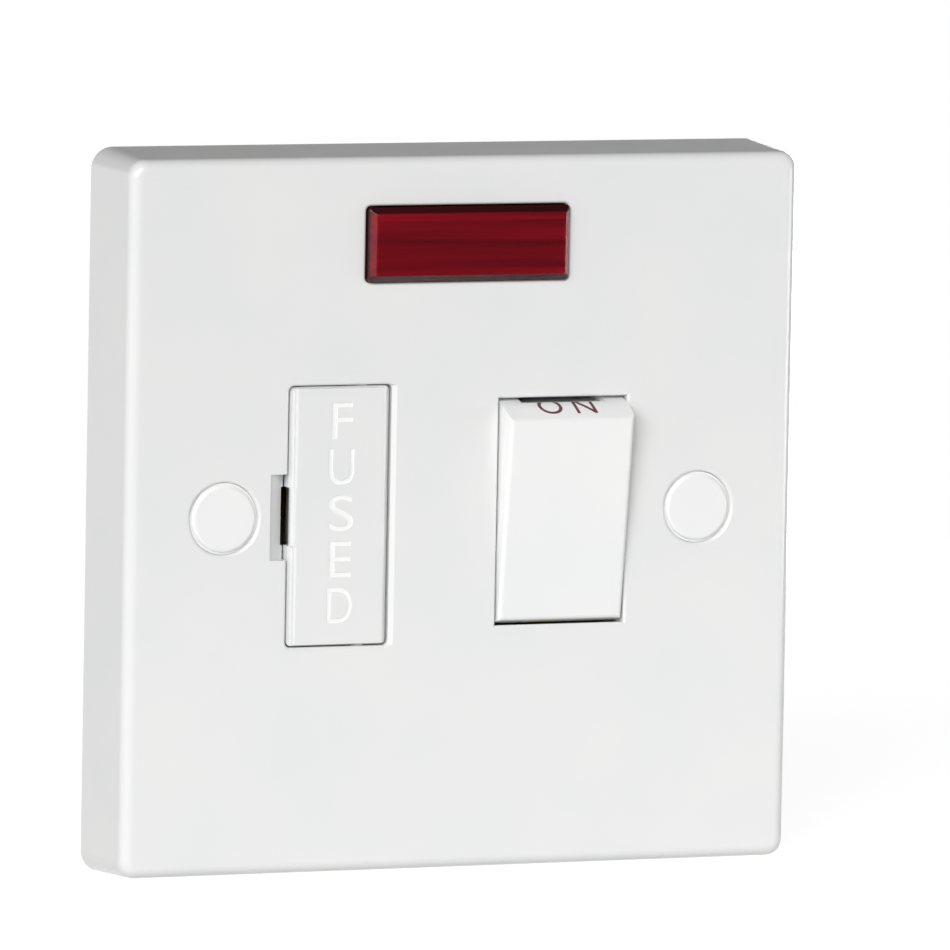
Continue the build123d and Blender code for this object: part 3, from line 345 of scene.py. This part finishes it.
def make_piece(name, mesh, finish, body):
    mesh.materials.clear()
    mesh.materials.append(finish)
    stored = mesh.attributes.get("custom_normal")
    if stored:
        mesh.attributes.remove(stored)
    mesh.shade_smooth()
    mesh.set_sharp_from_angle(angle=SHARP_ANGLE)
    piece = bpy.data.objects.new(name, mesh)
    bpy.context.scene.collection.objects.link(piece)
    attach(piece, body)
    print("piece", name, "faces", len(mesh.polygons))
    return piece


def to_mesh(shape, name):
    mesh = bpy.data.meshes.new(name)
    shape.to_mesh(mesh)
    shape.free()
    return mesh


def join(shape, mesh):
    shape.from_mesh(mesh)
    bpy.data.meshes.remove(mesh)


def all_of(shape):
    return shape.verts[:] + shape.edges[:] + shape.faces[:]


# %% [markdown]
# Letters are Blender's own text, turned into a mesh. The front of the unit faces -Y, so a word that
# reads from the front has its up along +Z and its thickness towards -Y; on the back it is turned
# half round. The word is scaled by its measured height, so a size is the height of a capital.

# %% Helper that writes words
TO_FRONT = Matrix(((1, 0, 0, 0), (0, 0, -1, 0), (0, 1, 0, 0), (0, 0, 0, 1)))
TO_BACK = Matrix(((-1, 0, 0, 0), (0, 0, 1, 0), (0, 1, 0, 0), (0, 0, 0, 1)))
TEXT_WELD = 1e-5


def word_shape(word, height, thickness, width=None):
    """A bmesh of a word lying in XY, centred, with its thickness from 0 up along Z."""
    text = bpy.data.curves.new("word", "FONT")
    text.body = word
    text.extrude = thickness / height / 2
    holder = bpy.data.objects.new("word", text)
    mesh = bpy.data.meshes.new_from_object(holder)
    bpy.data.objects.remove(holder)
    bpy.data.curves.remove(text)
    shape = bmesh.new()
    join(shape, mesh)
    bmesh.ops.remove_doubles(shape, verts=shape.verts, dist=TEXT_WELD)
    lows = [min(v.co[axis] for v in shape.verts) for axis in range(3)]
    highs = [max(v.co[axis] for v in shape.verts) for axis in range(3)]
    up = height / (highs[1] - lows[1])
    across = width / (highs[0] - lows[0]) if width else up
    middle = Vector(((lows[0] + highs[0]) / 2, (lows[1] + highs[1]) / 2, lows[2]))
    bmesh.ops.translate(shape, vec=-middle, verts=shape.verts)
    deep = thickness / (highs[2] - lows[2])
    bmesh.ops.scale(shape, vec=(across, up, deep), verts=shape.verts)
    return shape


# %% [markdown]
# The carrier is lettered down its face. The letters are cut into the moulding and filled with white
# paint, so the carrier is a copy of its node with the letters taken out by a Boolean, and the paint
# is a second piece that lies in the cut, a little below the face. The copy is first scored through the
# middle of every letter, so that no face of the result has to reach round a hole.

# %% Engraved fuse carrier
CARRIER_LETTERS = [("F", 2.6), ("U", 3.2), ("S", 3.1), ("E", 2.75), ("D", 3.15)]
LETTER_HEIGHT = 4.25 * MM
LETTER_PITCH = 5.47 * MM
LETTER_LIFT = 0.37 * MM
LETTER_CUT = 0.2 * MM
PAINT_DEPTH = 0.12 * MM
LETTERS_FROM_HINGE = 2.9 * MM
LETTER_X = joints["carrier_swing"]["pos_m"][0] - LETTERS_FROM_HINGE


def letter_level(row):
    return LETTER_LIFT + ((len(CARRIER_LETTERS) - 1) / 2 - row) * LETTER_PITCH


def carrier_letters(thickness, front_y):
    letters = bmesh.new()
    for row, (letter, width) in enumerate(CARRIER_LETTERS):
        shape = word_shape(letter, LETTER_HEIGHT, thickness, width * MM)
        place = Matrix.Translation((LETTER_X, front_y + thickness, letter_level(row))) @ TO_FRONT
        bmesh.ops.transform(shape, matrix=place, verts=shape.verts)
        join(letters, to_mesh(shape, "letter"))
    return to_mesh(letters, "carrier_letters")


def scored_carrier():
    shape = bmesh.new()
    shape.from_mesh(frame["nodes"]["fuse_carrier"].data)
    bmesh.ops.remove_doubles(shape, verts=shape.verts, dist=WELD)
    scores = [((LETTER_X, 0, 0), (1, 0, 0))]
    scores += [((0, 0, letter_level(row)), (0, 0, 1)) for row in range(len(CARRIER_LETTERS))]
    for point, normal in scores:
        bmesh.ops.bisect_plane(shape, geom=all_of(shape), plane_co=point, plane_no=normal)
    return to_mesh(shape, "scored_carrier")


def cut_from(mesh, cutter_mesh):
    """The first mesh with the second taken out of it."""
    body = bpy.data.objects.new("cut_body", mesh)
    cutter = bpy.data.objects.new("cutter", cutter_mesh)
    for piece in (body, cutter):
        bpy.context.scene.collection.objects.link(piece)
    boolean = body.modifiers.new("cut", "BOOLEAN")
    boolean.operation = "DIFFERENCE"
    boolean.solver = "EXACT"
    boolean.object = cutter
    graph = bpy.context.evaluated_depsgraph_get()
    result = bpy.data.meshes.new_from_object(body.evaluated_get(graph))
    for piece in (body, cutter):
        bpy.data.objects.remove(piece)
    return result


cutter = carrier_letters(2 * LETTER_CUT, FACE_Y - LETTER_CUT)
carrier_mesh = cut_from(scored_carrier(), cutter)
carrier = make_piece("engraved_fuse_carrier", carrier_mesh, WHITE_UREA, "carrier")
even = carrier.modifiers.new("even_shading", "WEIGHTED_NORMAL")
even.keep_sharp = True
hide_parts("fuse_carrier")
paint_mesh = carrier_letters(LETTER_CUT - PAINT_DEPTH, FACE_Y + PAINT_DEPTH)
make_piece("carrier_letter_paint", paint_mesh, LETTER_PAINT, "carrier")

# %% [markdown]
# The rocker's top end carries the printed word that shows when the switch is on. That end is part of
# a drum about the pivot, so each flat letter is first sliced into narrow bands and then bent round the
# drum, standing a hair above it. The print stops where the end's pocket starts, which trims the tops.

# %% Printed word on the rocker
PRINT_LETTERS = [("O", 3.0, -2.14), ("N", 2.6, 2.2)]
PRINT_HEIGHT = 3.2 * MM
PRINT_THICKNESS = 0.03 * MM
PRINT_START = math.radians(59.3)
PRINT_END = math.radians(70.0)
PRINT_BANDS = 10
DRUM_END = 8 * MM
drum = [v.co - pivot for v in frame["nodes"]["rocker"].data.vertices if v.co.z > DRUM_END]
drum_radius = max(math.hypot(spot.y, spot.z) for spot in drum)


def printed_letter(letter, width, offset):
    shape = word_shape(letter, PRINT_HEIGHT, PRINT_THICKNESS, width)
    room = (PRINT_END - PRINT_START) * drum_radius
    for band in range(1, PRINT_BANDS + 1):
        level = room * band / PRINT_BANDS - PRINT_HEIGHT / 2
        at_end = band == PRINT_BANDS
        bmesh.ops.bisect_plane(
            shape, geom=all_of(shape), plane_co=(0, level, 0), plane_no=(0, 1, 0), clear_outer=at_end
        )
    for vertex in shape.verts:
        angle = PRINT_START + (vertex.co.y + PRINT_HEIGHT / 2) / drum_radius
        reach = drum_radius + vertex.co.z - PRINT_THICKNESS / 2
        across = pivot.x + offset + vertex.co.x
        vertex.co = (across, pivot.y - reach * math.cos(angle), reach * math.sin(angle))
    return to_mesh(shape, "printed_letter")


prints = bmesh.new()
for letter, width, offset in PRINT_LETTERS:
    join(prints, printed_letter(letter, width * MM, offset * MM))
make_piece("rocker_print", to_mesh(prints, "rocker_print"), MARKING_INK, "rocker")
print("drum radius", round(drum_radius / MM, 2), "mm")

# %% [markdown]
# The two long screws that pull the plate to the wall box show their threads behind the plate. A thread
# is one ridge wound round a core, so the outline of a single ridge, one pitch long, is spun about the
# screw's axis while it rises one pitch a turn. Each turn then meets the next, and welding the doubles
# makes one skin. Two planes trim the ends square.

# %% Threaded fixing screws
PITCH = 0.6 * MM
THREAD_STEPS = 28
RIDGE = [(0.78, 0.0), (1.0, 0.38), (1.0, 0.5), (0.78, 0.88), (0.78, 1.0)]
screws_low, screws_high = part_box("fixing_screws")
fixing = next(m for m in frame["record"]["mounts"] if m["name"] == "fixing_screws")
THREAD_R = fixing["dims"]["stud_r_mm"] * MM
HEAD_R = (screws_high.z - screws_low.z) / 2
FIXING_X = fixing["dims"]["pcd_mm"] * MM / 2
HEAD_H = 2.1 * MM
HEAD_ROUND = 0.6 * MM
NECK_R = 1.5 * MM
SLOT_W = 1.0 * MM
SLOT_DEPTH = 1.0 * MM
THREAD_START = -0.3 * MM
THREAD_WELD = 2e-6
POINT_TAPER = 0.6 * MM
POINT_SHARE = 0.8
ROUND_STEPS = 6
HEAD_STEPS = 48
POINT_STEPS = 32


def quarter_turn(steps):
    return [math.radians(90 * step / steps) for step in range(steps + 1)]


def spun(outline, steps):
    """A closed turned shape from (radius, y) points, the first and last on the axis."""
    shape = bmesh.new()
    points = [shape.verts.new((radius, y, 0)) for radius, y in outline]
    edges = [shape.edges.new(pair) for pair in zip(points, points[1:])]
    bmesh.ops.spin(
        shape,
        geom=points + edges,
        cent=(0, 0, 0),
        axis=(0, 1, 0),
        angle=2 * math.pi,
        steps=steps,
        use_merge=True,
    )
    bmesh.ops.remove_doubles(shape, verts=shape.verts, dist=WELD)
    bmesh.ops.recalc_face_normals(shape, faces=shape.faces)
    return shape


def thread_shape(start, end):
    shape = bmesh.new()
    turns = math.ceil((end - start) / PITCH) + 2
    points = [shape.verts.new((THREAD_R * r, start + (along - 1) * PITCH, 0)) for r, along in RIDGE]
    edges = [shape.edges.new(pair) for pair in zip(points, points[1:])]
    bmesh.ops.spin(
        shape,
        geom=points + edges,
        cent=(0, 0, 0),
        axis=(0, 1, 0),
        dvec=(0, PITCH / THREAD_STEPS, 0),
        angle=turns * 2 * math.pi,
        steps=turns * THREAD_STEPS,
    )
    bmesh.ops.remove_doubles(shape, verts=shape.verts, dist=THREAD_WELD)
    for level, side in ((start, -1), (end, 1)):
        cut = bmesh.ops.bisect_plane(
            shape, geom=all_of(shape), plane_co=(0, level, 0), plane_no=(0, side, 0), clear_outer=True
        )
        rim = [item for item in cut["geom_cut"] if isinstance(item, bmesh.types.BMEdge)]
        bmesh.ops.edgenet_fill(shape, edges=rim)
    bmesh.ops.recalc_face_normals(shape, faces=shape.faces)
    return shape


def fixing_screw_mesh(x):
    top = screws_low.y
    seat = top + HEAD_H
    tip = screws_high.y
    neck_end = THREAD_START + PITCH
    outline = [(0, top)]
    for angle in quarter_turn(ROUND_STEPS):
        inset = HEAD_ROUND * (1 - math.sin(angle))
        outline.append((HEAD_R - inset, top + HEAD_ROUND * (1 - math.cos(angle))))
    outline += [(HEAD_R, seat), (NECK_R, seat), (NECK_R, neck_end), (0, neck_end)]
    head = to_mesh(spun(outline, HEAD_STEPS), "screw_head")
    slot = bmesh.new()
    bmesh.ops.create_cube(slot, size=1)
    bmesh.ops.scale(slot, vec=(3 * HEAD_R, 2 * SLOT_DEPTH, SLOT_W), verts=slot.verts)
    bmesh.ops.translate(slot, vec=(0, top, 0), verts=slot.verts)
    thread_end = tip - POINT_TAPER
    point = [(0, thread_end), (THREAD_R * POINT_SHARE, thread_end), (THREAD_R - POINT_TAPER, tip), (0, tip)]
    screw = bmesh.new()
    join(screw, cut_from(head, to_mesh(slot, "slot")))
    join(screw, to_mesh(thread_shape(THREAD_START, thread_end), "thread"))
    join(screw, to_mesh(spun(point, POINT_STEPS), "point"))
    bmesh.ops.translate(screw, vec=(x, 0, 0), verts=screw.verts)
    return to_mesh(screw, "fixing_screw")


for side, x in (("left", -FIXING_X), ("right", FIXING_X)):
    screw = make_piece(f"threaded_screw_{side}", fixing_screw_mesh(x), ZINC, "unit")
    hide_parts("fixing_screws")

# %% [markdown]
# The neon lamp is a thin glass tube, domed at one end and pinched at the other, with two nickel rods
# inside. Its glass is two turned shapes, one inside the other. The inner one's faces are reversed, so
# that only the wall between them is glass. Both are spun about Y and then laid along X.

# %% Neon lamp
GLASS_WALL = 0.3 * MM
ROD_R = 0.35 * MM
ROD_SPREAD = 0.8 * MM
ROD_LENGTH = 8 * MM
ROD_SHIFT = 0.4 * MM
ROD_SIDES = 16
PINCH_LENGTH = 1.2 * MM
PINCH_SHARE = 0.7
NECK_LENGTH = 0.8 * MM
INNER_NECK = 0.4 * MM
GLASS_STEPS = 40
DOME_STEPS = 9
bulb_low, bulb_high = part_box("neon_bulb")
bulb_r = (bulb_high.z - bulb_low.z) / 2
bulb_middle = (bulb_low + bulb_high) / 2
LAY_ALONG_X = Matrix.Rotation(math.radians(-90), 4, "Z")


def lamp_glass():
    start, end = bulb_low.x, bulb_high.x
    shoulder = end - PINCH_LENGTH - NECK_LENGTH
    pinch_r = PINCH_SHARE * bulb_r
    inner_r = bulb_r - GLASS_WALL
    arc = quarter_turn(DOME_STEPS)
    outer = [(bulb_r * math.sin(a), start + bulb_r * (1 - math.cos(a))) for a in arc]
    outer += [(bulb_r, shoulder), (pinch_r, end - PINCH_LENGTH), (pinch_r, end), (0, end)]
    inner = [(inner_r * math.sin(a), start + GLASS_WALL + inner_r * (1 - math.cos(a))) for a in arc]
    inner += [(inner_r, shoulder - INNER_NECK), (0, shoulder)]
    shell = spun(outer, GLASS_STEPS)
    hollow = spun(inner, GLASS_STEPS)
    bmesh.ops.reverse_faces(hollow, faces=hollow.faces)
    join(shell, to_mesh(hollow, "hollow"))
    turn = Matrix.Translation((0, bulb_middle.y, bulb_middle.z)) @ LAY_ALONG_X
    bmesh.ops.transform(shell, matrix=turn, verts=shell.verts)
    return to_mesh(shell, "lamp_glass")


def lamp_rods():
    rods = bmesh.new()
    for side in (-1, 1):
        made = bmesh.ops.create_cone(
            rods, cap_ends=True, segments=ROD_SIDES, radius1=ROD_R, radius2=ROD_R, depth=ROD_LENGTH
        )
        middle = bulb_middle + Vector((ROD_SHIFT, 0, side * ROD_SPREAD))
        lay = Matrix.Translation(middle) @ Matrix.Rotation(math.radians(90), 4, "Y")
        bmesh.ops.transform(rods, matrix=lay, verts=made["verts"])
    return to_mesh(rods, "lamp_rods")


glass = make_piece("neon_lamp_glass", lamp_glass(), CLEAR_GLASS, "unit")
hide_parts("neon_bulb")
make_piece("neon_lamp_rods", lamp_rods(), NICKEL, "unit")

# %% [markdown]
# The back of the base is marked so that a fitter knows the terminals: L, N and E by the line, neutral
# and earth pillars, and a word for each row of them. The marks are moulded proud of the wall, in the
# base's own plastic, so each is a thin raised word.

# %% Raised terminal marks
MARK_HEIGHT = 1.35 * MM
WORD_HEIGHT = 2.6 * MM
MARK_THICKNESS = 0.25 * MM
MARK_IN = 0.15 * MM
MARK_SINK = 0.02 * MM
WORD_LEVELS = {"SUPPLY": 11 * MM, "LOAD": -11 * MM}


def raised_word(word, height, x, back_y, z):
    shape = word_shape(word, height, MARK_THICKNESS)
    place = Matrix.Translation((x, back_y - MARK_SINK, z)) @ TO_BACK
    bmesh.ops.transform(shape, matrix=place, verts=shape.verts)
    return to_mesh(shape, word)


TERMINAL_LETTERS = {
    "supply_line": "L",
    "supply_neutral": "N",
    "load_line": "L",
    "earth": "E",
    "load_neutral": "N",
}
housing_shape = bmesh.new()
housing_shape.from_mesh(frame["nodes"]["rear_housing"].data)
behind_unit = Vector((0, 2 * BASE_BACK, 0))
floor_back = BVHTree.FromBMesh(housing_shape).ray_cast(behind_unit, Vector((0, -1, 0)))[0].y
housing_shape.free()
marks = bmesh.new()
for terminal, letter in TERMINAL_LETTERS.items():
    low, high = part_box(terminal + "_terminal")
    z = high.z - MARK_IN if low.z > 0 else low.z + MARK_IN
    join(marks, raised_word(letter, MARK_HEIGHT, (low.x + high.x) / 2, BASE_BACK, z))
for word, z in WORD_LEVELS.items():
    join(marks, raised_word(word, WORD_HEIGHT, 0, floor_back, z))
make_piece("terminal_marks", to_mesh(marks, "terminal_marks"), NYLON, "unit")

# %% [markdown]
# The camera stands where the photographer stood: a long lens well to the left of the unit and a little
# above it. Its angles were found by matching the plate's corners, and its axes are built from them.

# %% Camera
EYE = Vector((-0.52627, -1.32148, 0.15646))
YAW, PITCH_DOWN, ROLL = (math.radians(angle) for angle in (21.9526, 6.1443, -1.0722))
FOCAL_PIXELS = 12000
FRAME_PIXELS = 950
SENSOR_WIDTH = 36
FAR_LIMIT = 50
level = math.cos(PITCH_DOWN)
forward = Vector((math.sin(YAW) * level, math.cos(YAW) * level, -math.sin(PITCH_DOWN)))
level_right = Vector((math.cos(YAW), -math.sin(YAW), 0))
level_down = forward.cross(level_right)
right = math.cos(ROLL) * level_right + math.sin(ROLL) * level_down
down = math.cos(ROLL) * level_down - math.sin(ROLL) * level_right
camera_data = bpy.data.cameras.new("camera")
camera_data.sensor_width = SENSOR_WIDTH
camera_data.lens = SENSOR_WIDTH * FOCAL_PIXELS / FRAME_PIXELS
camera_data.clip_end = FAR_LIMIT
camera = bpy.data.objects.new("camera", camera_data)
axes = Matrix((right, -down, -forward)).transposed()
camera.matrix_world = Matrix.Translation(EYE) @ axes.to_4x4()
bpy.context.scene.collection.objects.link(camera)
bpy.context.scene.camera = camera
print("lens", round(camera_data.lens, 1), "mm")

# %% [markdown]
# The unit stands on a small pale table that is white to the camera and still takes its shadow. Its top
# glows a little, as a pale table does under studio light, which lifts everything that looks down. Where
# the camera, a shine or glass looks at it, it is a near white that a shadow can still darken.

# %% Table top
TABLE_R = 0.36
TABLE_SIDES = 96
TABLE_LIGHT = 0.53
TABLE_GLOW = 0.86
WHITE = (1, 1, 1, 1)
table_shape = bmesh.new()
bmesh.ops.create_circle(table_shape, cap_ends=True, segments=TABLE_SIDES, radius=TABLE_R)
bmesh.ops.translate(table_shape, vec=(0, 0, PLATE_BOTTOM), verts=table_shape.verts)
table = bpy.data.objects.new("table_top", to_mesh(table_shape, "table_top"))
bpy.context.scene.collection.objects.link(table)
table_finish = bpy.data.materials.new("pale_table_top")
table_finish.use_nodes = True
tree = table_finish.node_tree
tree.nodes.clear()
path = add(tree, "ShaderNodeLightPath").outputs
looked_at = {0: path["Is Camera Ray"], 1: path["Is Glossy Ray"]}
shown = add(tree, "ShaderNodeMath", looked_at, operation="MAXIMUM").outputs[0]
shown = add(tree, "ShaderNodeMath", {0: shown, 1: path["Is Transmission Ray"]}, operation="MAXIMUM")
plain = add(tree, "ShaderNodeEmission", {"Color": WHITE, "Strength": TABLE_LIGHT})
glow = add(tree, "ShaderNodeEmission", {"Color": WHITE, "Strength": TABLE_GLOW})
catch = add(tree, "ShaderNodeBsdfDiffuse", {"Color": linear("#a0a0a0")})
white = add(tree, "ShaderNodeAddShader", {0: glow.outputs[0], 1: catch.outputs[0]})
layers = {0: shown.outputs[0], 1: plain.outputs[0], 2: white.outputs[0]}
top = add(tree, "ShaderNodeMixShader", layers)
add(tree, "ShaderNodeOutputMaterial", {"Surface": top.outputs[0]})
table.data.materials.append(table_finish)
print("table radius", TABLE_R, "m")

# %% [markdown]
# Around the table is a studio: a white sweep behind and below, and a dim room on the photographer's side.
# The camera sees white everywhere. Shiny plastic, metal and glass see the white sweep and the dim room,
# which is what gives the red window its depth. The plain light is weak, so that the soft boxes decide
# the shading and the plate's top stays in soft shade. Heights below are shares of straight up.

# %% Studio
HORIZON_LIGHT = 0.04
OVERHEAD_LIGHT = 0.03
DIM_ROOM = 0.1
PLAIN_FADE = (0.2, 0.55)
SWEEP_FADE = (-0.05, 0.15)
SWEEP_TOP = (0.06, 0.16)
world = bpy.data.worlds.new("studio")
world.use_nodes = True
bpy.context.scene.world = world
tree = world.node_tree
tree.nodes.clear()


def faded(value, span, start, end):
    """A value that goes from start to end over a span of directions."""
    limits = {"From Min": span[0], "From Max": span[1], "To Min": start, "To Max": end}
    return add(tree, "ShaderNodeMapRange", {"Value": value, **limits}).outputs[0]


path = add(tree, "ShaderNodeLightPath").outputs
facing = add(tree, "ShaderNodeTexCoord").outputs["Generated"]
way = add(tree, "ShaderNodeSeparateXYZ", {"Vector": facing}).outputs
plain = faded(way["Z"], PLAIN_FADE, HORIZON_LIGHT, OVERHEAD_LIGHT)
behind = faded(way["Y"], SWEEP_FADE, 0.0, 1.0)
low = faded(way["Z"], SWEEP_TOP, 1.0, 0.0)
sweep = add(tree, "ShaderNodeMath", {0: behind, 1: low}, operation="MULTIPLY").outputs[0]
mirrored = between(tree, sweep, DIM_ROOM, 1.0)
looked_at = {0: path["Is Glossy Ray"], 1: path["Is Transmission Ray"]}
shiny = add(tree, "ShaderNodeMath", looked_at, operation="MAXIMUM").outputs[0]
seen = add(tree, "ShaderNodeMix", {0: shiny, 2: plain, 3: mirrored}).outputs[0]
seen = add(tree, "ShaderNodeMix", {0: path["Is Camera Ray"], 2: seen, 3: 1.0}).outputs[0]
room = add(tree, "ShaderNodeBackground", {"Color": WHITE, "Strength": seen})
add(tree, "ShaderNodeOutputWorld", {"Surface": room.outputs[0]})
print("plain light", HORIZON_LIGHT, "at the horizon,", OVERHEAD_LIGHT, "overhead")

# %% [markdown]
# Five soft boxes do the rest. The main one is at the front left, a little above the unit, and lights the
# face and the left side. A second on the left gives the rounded edges and the window's bevel something
# to mirror, and a third, higher, lights the edges that look up. A small weak one low on the right lifts
# the face's lower right, and one at the right rear lights the back for whoever looks there. Each row
# below is a name, the degrees round and up, the distance and width in metres and the watts.

# %% Soft boxes
boxes = [
    ("main_soft_box", -42, 17, 4.0, 2.0, 96.0),
    ("left_soft_box", -75, 5, 3.2, 1.8, 9.6),
    ("upper_soft_box", -20, 35, 3.2, 1.6, 37.0),
    ("low_soft_box", 58, -12, 0.4, 0.2, 0.72),
    ("rear_soft_box", 136, 0, 1.6, 0.9, 27.0),
]
for name, azimuth, elevation, distance, size, power in boxes:
    turn = math.radians(azimuth)
    rise = math.radians(elevation)
    flat = math.cos(rise)
    way = Vector((math.sin(turn) * flat, -math.cos(turn) * flat, math.sin(rise)))
    lamp = bpy.data.lights.new(name, "AREA")
    lamp.size = size
    lamp.energy = power
    holder = bpy.data.objects.new(name, lamp)
    holder.location = way * distance
    holder.rotation_mode = "QUATERNION"
    holder.rotation_quaternion = (-way).to_track_quat("-Z", "Y")
    holder.visible_camera = False
    bpy.context.scene.collection.objects.link(holder)
bpy.context.scene.view_settings.view_transform = "Standard"
print("soft boxes", [box[0] for box in boxes])
